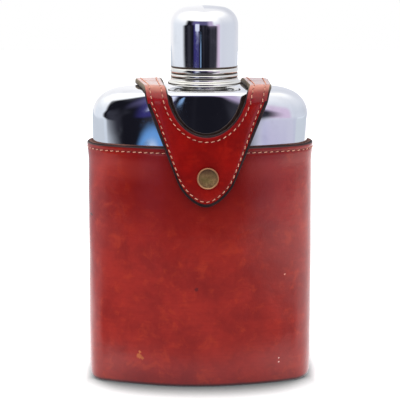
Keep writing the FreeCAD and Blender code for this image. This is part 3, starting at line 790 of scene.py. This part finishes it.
def strap_stations(tongue, sign):
    """Pairs (outer, inner) of (x, station) from the tip's middle along one arm to the strap's middle.

    A station is ("face", z), ("bend", share) or ("top", share of the way to the middle).
    """
    other = TAIL if tongue is FLAP else FLAP
    pairs = []
    for pair in zip(resample(tongue.outer, TONGUE_STEPS), resample(tongue.inner, TONGUE_STEPS)):
        pairs.append(tuple((tongue.mid(spot.y) + sign * spot.x, "face", spot.y) for spot in pair))
    for step in range(1, BEND_STEPS + 1):
        share = step / BEND_STEPS
        edges = tongue.across(sign, BEND_Z + BEND_INNER * share)
        pairs.append(tuple((x, "bend", share) for x in edges))
    far_edges = other.across(sign, STRAP_FLOOR)
    for step in range(1, ARM_STEPS + 1):
        share = step / ARM_STEPS
        middles = [near + (far - near) * share / 2 for near, far in zip(edges, far_edges)]
        pairs.append(tuple((x, "top", share) for x in middles))
    return ease_across(pairs)


def ease_across(pairs):
    """Round off the sideways kink at the bend by averaging neighbours there."""
    start = TONGUE_STEPS - 10
    for _ in range(5):
        eased = list(pairs)
        for number in range(start, len(pairs) - 1):
            neighbours = zip(pairs[number - 1], pairs[number], pairs[number + 1])
            eased[number] = [((a[0] + 2 * b[0] + c[0]) / 4, *b[1:]) for a, b, c in neighbours]
        pairs = eased
    return pairs


def strap_point(tongue, x, kind, value, lift):
    """A point of the strap at a lift above its underside."""
    depth = face_depth(x, STRAP_GAP)
    facing = tongue.facing
    if kind == "face":
        return Vector((x, facing * (depth + lift), value))
    if kind == "bend":
        angle = value * pi / 2
        reach = BEND_INNER + lift
        y = facing * (depth - BEND_INNER + reach * cos(angle))
        return Vector((x, y, BEND_Z + reach * sin(angle)))
    return Vector((x, facing * (depth - BEND_INNER) * (1 - value), STRAP_FLOOR + lift))


def strap_between(tongue, pair, share, lift):
    """A point between a station's outer and inner edges."""
    (x0, kind, v0), (x1, _, v1) = pair
    return strap_point(tongue, x0 + (x1 - x0) * share, kind, v0 + (v1 - v0) * share, lift)


def ruling_length(tongue, pair):
    """Width of the strap at a station."""
    return (strap_between(tongue, pair, 0, 0) - strap_between(tongue, pair, 1, 0)).length


def strap_section(width):
    """(share of the width, height above the underside) across the strap, from its outer edge."""
    section = [(min(offset, width / 2) / width, lift) for offset, lift, _ in EDGE_ROLL]
    mirrored = [(1 - share, lift) for share, lift in reversed(section)]
    start = EDGE_ROLL[-1][0] / width
    for step in range(1, MIDDLE_STEPS):
        section.append((start + (1 - 2 * start) * step / MIDDLE_STEPS, STRAP_THICK))
    return section + mirrored


def strap_indices(stations, around):
    """The material of each face of a strap half."""
    kinds = [kind for _, _, kind in EDGE_ROLL[:-1]]
    column = kinds + [0] * MIDDLE_STEPS + list(reversed(kinds)) + [3]
    indices = []
    for (_, kind, _), _ in stations[:-1]:
        # On the tongues' faces the dyed bevel is widened by a painted edge shadow.
        dye_and_shade = DYE_AND_SHADE_COLUMNS if kind == "face" else ()
        indices += [1 if number in dye_and_shade else column[number] for number in range(around)]
    return indices + [1, 1]


def make_strap_half(name, tongue, nodes, thread_nodes):
    """One half of the strap, from the middle of one arm round the tongue to the middle of the other."""
    stations = list(reversed(strap_stations(tongue, -1))) + strap_stations(tongue, 1)[1:]
    points = []
    for pair in stations:
        section = strap_section(ruling_length(tongue, pair))
        for share, lift in section:
            point = strap_between(tongue, pair, share, lift)
            if lift > 1.0:
                wave = 0.07 * rough(point, 12, 4) + 0.1 * rough(point, 27, 5)
                point = strap_between(tongue, pair, share, lift + wave)
            points.append(point)
    faces = tube_faces(len(stations), len(section))
    materials = [STRAP_LEATHER, EDGE_DYE, EDGE_LINE, SUEDE]
    piece = make_piece(name, points, faces, materials, strap_indices(stations, len(section)))
    fix_outwards(piece)
    # Painted highlight: 1 where the strap's top turns up over the shoulder, 0 lower down.
    painted_top_highlight = piece.data.attributes.new("painted_top_highlight", "FLOAT", "POINT")
    painted_top_highlight.data.foreach_set("value", [smooth(WIDTH_Z + 0.2, WIDTH_Z + 3.2, point.z) for point in points])
    thread = make_strap_stitches(name + "_thread", tongue, stations)
    for item, slot, stands_for in ((piece, "strap_leather", nodes), (thread, "thread", thread_nodes)):
        blend_strap(item)
        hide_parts(*stands_for)


def fix_outwards(piece):
    """Turn the mesh's faces outwards if they came out the other way round."""
    work = bmesh.new()
    work.from_mesh(piece.data)
    bmesh.ops.recalc_face_normals(work, faces=work.faces)
    work.to_mesh(piece.data)
    work.free()


def blend_strap(item):
    """Bakes the piece's placement into its mesh; the halves keep the bends they were built with."""
    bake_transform(item)


def make_strap_stitches(name, tongue, stations):
    """Rows a little in from the outer and inner edges, evenly spaced along their own length."""
    rows = []
    for side in (0, 1):
        track = []
        for pair in stations:
            share = STITCH_INSET / ruling_length(tongue, pair)
            share = 1 - share if side else share
            here = strap_between(tongue, pair, share, STRAP_THICK - 0.1)
            above = strap_between(tongue, pair, share, STRAP_THICK + 1)
            track.append((here, (above - here).normalized()))
        travelled = STITCH_PITCH / 2
        for (here, up_here), (there, up_there) in zip(track, track[1:]):
            span = (there - here).length
            while travelled < span:
                share = travelled / span
                outwards = up_here.lerp(up_there, share).normalized()
                along = (there - here).normalized()
                along = (along - outwards * along.dot(outwards)).normalized()
                rows.append((here.lerp(there, share), along, outwards))
                travelled += STITCH_PITCH
            travelled -= span
    return stitches(name, rows)


# ---------- the metal

SHOULDER_HEIGHT = 12.0
SHOULDER_WIDTH = 13.0
SHOULDER_DEPTH = 3.0
EDGE_SHARE = 0.15
FLASK_SKIN = -1.89
NECK_SEAT = 9.1
CROWN_LIFT = 0.2


def quarter(share, ease=2.0):
    """How far a quarter circle has turned in at this share of its height; more ease starts it softer."""
    return 1 - sqrt(max(0.0, 1 - share ** ease))


def make_flask():
    """The visible shell: straight below, rounded over the shoulder, slightly crowned to the neck."""
    top = FLASK_HIGH.z
    loop_count = 240
    low = FLASK_LOW.z + 0.2
    rises = [(height - top) / SHOULDER_HEIGHT + 1 for height in (low, 40, 80, 95, 100)]
    steps = 36
    rises.extend(sin(step / steps * pi / 2) for step in range(steps + 1))
    points = []
    for rise in rises:
        inwards = quarter(max(0.0, (rise - 1 + EDGE_SHARE) / EDGE_SHARE)) * SHOULDER_DEPTH
        centre = END_CENTRE - quarter(max(0.0, rise), 2.4) * SHOULDER_WIDTH + inwards
        end = END_RADIUS + FLASK_SKIN - inwards
        half = HALF_DEPTH + FLASK_SKIN - inwards
        height = top - SHOULDER_HEIGHT * (1 - rise)
        points.extend(plain_oval(centre, end, half, height, loop_count))
    crown_steps = 10
    shoulder = [Vector(point) for point in points[-loop_count:]]
    for step in range(1, crown_steps + 1):
        share = step / crown_steps
        lift = CROWN_LIFT * sin(share * pi / 2)
        for outer in shoulder:
            spoke = Vector((outer.x - NECK_X, outer.y, 0)).normalized()
            inner = Vector((NECK_X, 0, top)) + spoke * NECK_SEAT
            x, y, _ = outer.lerp(inner, share)
            points.append((x, y, top + lift))
    faces = rings_to_faces(len(rises) + crown_steps, loop_count)
    piece = make_piece("flask_body", points, faces, [FLASK_METAL])
    finish_piece(piece, "flask_metal", "flask_shell")


def plain_oval(centre, end, half, height, count):
    """Points of a four-arc oval, half of them on its ends and half on its faces."""
    face = (centre ** 2 + half ** 2 - end ** 2) / (2 * (half - end))
    reach = face - half
    switch = atan2(reach, centre)
    half_count = count // 8
    angles = [switch * step / half_count for step in range(half_count)]
    angles += [switch + (pi / 2 - switch) * step / half_count for step in range(half_count)]
    found = []
    for angle in angles:
        found += [angle, pi - angle, angle + pi, 2 * pi - angle]
    spots = []
    for real in sorted(real % (2 * pi) for real in found):
        cosine = cos(real)
        sine = sin(real)
        if abs(sine) <= sin(switch) + 1e-12:
            spots.append((copysign(centre, cosine) + end * cosine, end * sine, height))
        else:
            spots.append((face * cosine, face * sine - copysign(reach, sine), height))
    return spots


def make_dome():
    """The cap's straight side, rounded corner and nearly flat top."""
    radius = DOME_RADIUS
    top = DOME_HIGH.z
    foot = DOME_LOW.z
    corner = 7.2
    crown = 0.45
    corner_z = top - crown - corner
    profile = [(radius - 0.9, foot + 0.03), (radius - 0.1, foot), (radius, foot + 0.08), (radius, foot + 0.5)]
    for step in range(1, 9):
        profile.append((radius, foot + 0.5 + (corner_z - foot - 0.5) * step / 8))
    profile += arc_points(radius - corner, corner_z, corner, 0, 84, 22)[1:]
    edge_radius, edge_height = profile[-1]
    for step in range(1, 7):
        share = step / 6
        lift = (top - edge_height) * sin(share * pi / 2)
        profile.append((edge_radius * (1 - share) + 0.02 * share, edge_height + lift))
    # The three lowest spans, round the cap's foot, are painted dark as shade.
    piece = lathe("cap_dome_plate", profile, [CAP_METAL, GROOVE_SHADE], second=(0, 1, 2))
    finish_piece(piece, "cap_metal", "cap_dome", body="cap")


def make_collar():
    """The cap's collar: a rolled flange below two grooves painted dark as shade."""
    radius = DOME_RADIUS
    flange = FLANGE_RADIUS
    low = COLLAR_LOW.z
    high = COLLAR_HIGH.z
    profile = [(radius - 1.3, low + 0.5), (flange - 1.6, low + 0.25)]
    profile += arc_points(flange - 0.85, low + 0.9, 0.85, -100, 75, 10)
    profile += [(flange - 1.1, low + 1.95), (radius + 0.2, low + 2.25), (radius + 0.05, low + 2.6)]
    groove_shape = ((0.08, -0.34), (-0.05, -0.2), (-0.42, -0.08), (-0.42, 0.08), (-0.05, 0.2), (0.1, 0.38),
                    (0.2, 0.8))
    shaded_spans = []
    for groove in (low + 3.0, low + 4.65):
        shaded_spans += [len(profile) + number for number in (1, 2, 3, 4)]
        profile += [(radius + out, groove + up) for out, up in groove_shape]
    lip_shape = ((0.12, 0.75), (0.02, 0.35), (-0.3, 0.08), (-0.8, 0))
    profile += [(radius + out, high - drop) for out, drop in lip_shape]
    piece = lathe("cap_collar_plate", profile, [COLLAR_METAL, GROOVE_SHADE], 160, shaded_spans)
    finish_piece(piece, "collar_metal", "cap_collar", body="cap")


def make_snap():
    """Press stud cap: a thin rolled rim round a slightly dished, patinated face."""
    radius = 4.2
    # How far in from the radius, lift, and 0 for the patinated face or 1 for the rubbed rim.
    rounds = ((0.5, 0.0, 0), (0.1, 0.1, 1), (0, 0.35, 1), (0.08, 0.62, 1), (0.24, 0.78, 1), (0.4, 0.72, 1),
              (0.5, 0.56, 0), (0.8, 0.5, 0), (1.5, 0.62, 0), (2.4, 0.8, 0), (3.3, 0.92, 0))
    rounds = [(radius - inwards, lift, kind) for inwards, lift, kind in rounds]
    profile = [(0.0, 0.0, 0), *rounds, (0.02, 0.96, 0)]
    swing = asin(SNAP_X / (FACE_RADIUS + 2.3))
    outwards = Vector((sin(swing), -cos(swing), 0))
    level = Vector((cos(swing), sin(swing), 0))
    seat = Vector((0, FACE_CENTRE, SNAP_Z)) + outwards * (FACE_RADIUS + STRAP_GAP + STRAP_THICK - 0.02)
    steps = 72
    points = []
    for ring, lift, _ in profile:
        for angle in turns(steps):
            around = level * (ring * cos(angle)) + Vector((0, 0, ring * sin(angle)))
            points.append(seat + around + outwards * lift)
    faces = rings_to_faces(len(profile), steps)
    indices = [kind for *_, kind in profile[:-1] for _ in range(steps)]
    piece = make_piece("snap_button", points, faces, [SNAP_BRASS, RUBBED_BRASS], indices)
    fix_outwards(piece)
    finish_piece(piece, "snap_brass", "snap_cap", body="flap")


def dress_cad_nodes():
    """Materials for the CAD pieces that stay as they are."""
    looks = (
        (FELT, "case_insole"),
        (FLASK_METAL, "flask_base"),
        (INNER_METAL, "flask_neck", "cap_threaded_cup", "snap_spring"),
        (CORK, "cap_cork_seal"),
        (FIBRE, "cap_seal_washer"),
        (RUBBED_BRASS, "snap_post", "snap_stud", "snap_socket"),
    )
    for material, *names in looks:
        for name in names:
            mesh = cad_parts[name].data
            mesh.materials.clear()
            mesh.materials.append(material)


# ---------- the studio

CAMERA_PLACE = (0.0, -0.390, 0.159)
CAMERA_PITCH = 12.48
CAMERA_LENS = 87.9


def make_camera():
    """The camera, a little above the flask and looking slightly down."""
    data = bpy.data.cameras.new("camera")
    data.lens = CAMERA_LENS
    data.clip_start = 0.01
    camera = place_object("camera", data, CAMERA_PLACE)
    camera.rotation_euler = (radians(90 - CAMERA_PITCH), 0, 0)
    bpy.context.scene.camera = camera


def make_floor():
    """A pale sweep under the flask that glows a little, with a painted contact shadow where the flask stands.
    """
    mesh = bpy.data.meshes.new("floor")
    side, near_edge, far_edge = 1.2, -0.24, 2.0
    corners = [(-side, near_edge, 0), (side, near_edge, 0), (side, far_edge, 0), (-side, far_edge, 0)]
    mesh.from_pydata(corners, [], [(0, 1, 2, 3)])
    floor = place_object("floor", mesh)
    net = new_material("pale_floor")
    x, y, _ = net.parts()
    aside = net.off(x)
    tooth = net.noise(300.0, 2.0)
    # Painted contact shadow: an occlusion test darkens the colour and the glow near the flask, cut short past
    # its ends.
    sockets = {"Distance": 0.028, "Normal": (0.08, 0.76, 0.65)}
    nearby = net.add("AmbientOcclusion", sockets, samples=24)
    lit = net.band(nearby.outputs["AO"], 0.49, 1.0)
    lit = net.math("MAXIMUM", lit, net.times(net.band(aside, 0.0415, 0.0515), 0.95))
    pale = net.mix(tooth, (0.90, 0.90, 0.90, 1), (0.94, 0.94, 0.94, 1))
    floor.data.materials.append(net.finish({
        "Base Color": net.mix(lit, (0.12, 0.13, 0.13, 1), pale),
        "Roughness": 0.9,
        "Specular IOR Level": 0.1,
        "Emission Strength": net.times(lit, 0.3),
    }))
    # Glossy rays see this painted reflection, a glowing emission, in place of the floor itself.
    glossy_ray = net.add("LightPath").outputs["Is Glossy Ray"]
    mirrored = net.add("Emission", {"Color": mirrored_floor(net, x, y, aside)})
    choice = net.add("MixShader", {0: glossy_ray, 1: net.shader.outputs[0], 2: mirrored.outputs[0]})
    net.fill(net.tree.nodes["Material Output"], {"Surface": choice.outputs[0]})


def mirrored_floor(net, x, y, aside):
    """A painted reflection of the floor for the metal: dark in front, bright beside the flask, tent-coloured
    far off.
    """
    near = net.bands((aside, 0.02, 0.06), (aside, 0.24, 0.12))
    right = net.bands((x, 0.05, 0.10), (x, 0.60, 0.45))
    edge = net.mix(net.band(aside, 0.75, 1.15), (0.64, 0.69, 0.76, 1), (0.79, 0.84, 0.92, 1))
    bright = net.mix(net.math("MAXIMUM", near, right), edge, (1.6, 1.5, 1.52, 1))
    front = ((y, -0.035, -0.07), (aside, 0.30, 0.16), (x, 0.22, 0.07))
    return net.lay(bright, (0.22, 0.22, 0.24, 1), 1, *front)


def make_lights():
    """A broad soft light above and a fill from each side."""
    for name, place, aim, side, power in (
        ("top_light", (-0.15, -0.15, 0.75), (0, 0, 0.05), 0.7, 4.5),
        ("left_fill", (-0.75, -0.25, 0.35), (0, 0, 0.07), 0.5, 1.8),
        ("right_fill", (0.8, 0.0, 0.3), (0, 0, 0.07), 0.5, 2.2),
    ):
        data = bpy.data.lights.new(name, "AREA")
        data.size = side
        data.energy = power
        light = place_object(name, data, place)
        direction = Vector(aim) - Vector(place)
        light.rotation_euler = direction.to_track_quat("-Z", "Y").to_euler()
        light.visible_glossy = False


def tent_colour(net, azimuth, height, fold, level, slow_level):
    """The cloth: bluish at the horizon and white above, with lilac, shaded and pink parts on the right."""
    horizon = net.mix(slow_level, (0.66, 0.72, 0.81, 1), (0.84, 0.89, 0.96, 1))
    tent = net.mix(net.band(height, 0.0, 46.0), horizon, (1.3, 1.3, 1.28, 1))
    tent = net.lay(tent, (1.0, 1.0, 1.02, 1), 1, (net.off(azimuth), 115.0, 150.0))
    lilac = net.mix(net.band(fold, 0.45, 0.6), srgb(176, 168, 210), srgb(202, 194, 222))
    where = ((azimuth, 20.0, 42.0), (azimuth, 95.0, 52.0), (height, 40.0, 4.0))
    tent = net.lay(tent, lilac, 1, *where, net.mul_add(slow_level, -0.6, 0.8))
    tent = net.lay(tent, (0.62, 0.65, 0.74, 1), 0.6, (azimuth, 36.0, 70.0), (height, 62.0, 30.0))
    pink = (net.off(azimuth, 47.0), 9.0, 5.0)
    return net.lay(tent, srgb(214, 176, 216), 0.6, pink, level, (height, 14.0, 4.0))


def gap_colour(net, azimuth, height, fold, level):
    """The dark room seen through the tent's opening, violet on the left, hazy above and to the right."""
    dark = net.mix(net.band(fold, 0.4, 0.65), srgb(24, 24, 32), srgb(56, 56, 66))
    dark = net.lay(dark, srgb(62, 58, 130), 0.75, (net.off(azimuth, -27.0), 13.0, 5.0), level)
    dark = net.lay(dark, srgb(122, 116, 170), 0.5, (height, 1.0, 12.0), (azimuth, -48.0, -36.0))
    return net.lay(dark, srgb(190, 174, 208), 0.9, (height, -2.0, 4.0), (azimuth, 6.0, 20.0))


def gap_share(net, azimuth, height, slow_level):
    """1 in the opening and 0 outside; its sides lean, so that they look upright in the curved metal."""
    low_part = net.times(slow_level, net.band(height, 7.0, -1.0))
    left = net.mul_add(slow_level, 13.0, net.mul_add(low_part, 10.0, azimuth))
    right = net.mul_add(low_part, -15.0, azimuth)
    return net.bands((left, -60.0, -44.0), (right, 36.0, 24.0), (height, 33.0, 25.0))


def add_bright_marks(net, seen, azimuth, height):
    """A pale wedge, a thin streak and a round patch of blue in the opening."""
    wedge = net.times(net.math("ADD", height, 2.85), 15.0)
    wedge = net.math("MINIMUM", net.math("MAXIMUM", wedge, -3.0), 7.0)
    wedge = net.math("SUBTRACT", net.off(azimuth, -24.0), wedge)
    seen = net.lay(seen, srgb(226, 232, 255), 1, (wedge, 2.0, -2.0), (height, 16.0, 8.0))
    streak = ((net.off(azimuth, -12.0), 2.0, 0.8), (height, -3.0, -3.5), (height, -5.4, -5.1))
    seen = net.lay(seen, srgb(150, 190, 240), 0.8, *streak)
    blue_x = net.math("DIVIDE", net.math("ADD", azimuth, 28.0), 8.5)
    blue_y = net.math("DIVIDE", net.math("ADD", height, 9.7), 1.5)
    far = net.reach(blue_x, blue_y)
    blue = net.mix(net.band(far, 0.7, 0.15), srgb(104, 158, 222), srgb(206, 220, 240))
    return net.lay(seen, blue, 1, (far, 1.25, 0.75))


def make_world():
    """A white tent, open and dark towards the camera; the camera itself sees plain white.

    azimuth is in degrees from the camera's side, positive to the right; height is in degrees too.
    """
    world = bpy.data.worlds.new("tent")
    world.use_nodes = True
    bpy.context.scene.world = world
    net = Nodes(world.node_tree, "Generated")
    x, y, z = net.parts()
    degrees = 180 / pi
    azimuth = net.times(net.math("ARCTAN2", x, net.times(y, -1.0)), degrees)
    height = net.times(net.math("ARCSINE", z), degrees)
    fold = net.noise(3.0, 2.0)
    level = net.band(height, -6.8, -5.0)
    slow_level = net.band(height, -9.5, -3.5)
    tent = tent_colour(net, azimuth, height, fold, level, slow_level)
    dark = gap_colour(net, azimuth, height, fold, level)
    seen = net.mix(gap_share(net, azimuth, height, slow_level), tent, dark)
    seen = add_bright_marks(net, seen, azimuth, height)
    camera_ray = net.add("LightPath").outputs["Is Camera Ray"]
    seen = net.mix(camera_ray, seen, (1.0, 1.0, 1.0, 1))
    background = net.add("Background", {"Color": seen})
    net.add("OutputWorld", {"Surface": background.outputs[0]})


REAR_NODES = ("strap_tail", "strap_tail_backing", "strap_arm_left", "strap_arm_left_backing",
              "strap_arm_right", "strap_arm_right_backing")

make_case_wall()
make_case_base()
make_rim_stitches()
make_back_stitches()
make_flask()
make_dome()
make_collar()
make_strap_half("strap_front", FLAP, ("strap_flap", "strap_flap_backing"), ("flap_stitching",))
make_strap_half("strap_rear", TAIL, REAR_NODES, ("tail_stitching", "arm_stitching"))
make_snap()
dress_cad_nodes()
make_camera()
make_floor()
make_lights()
make_world()
bpy.context.scene.view_settings.view_transform = "Standard"
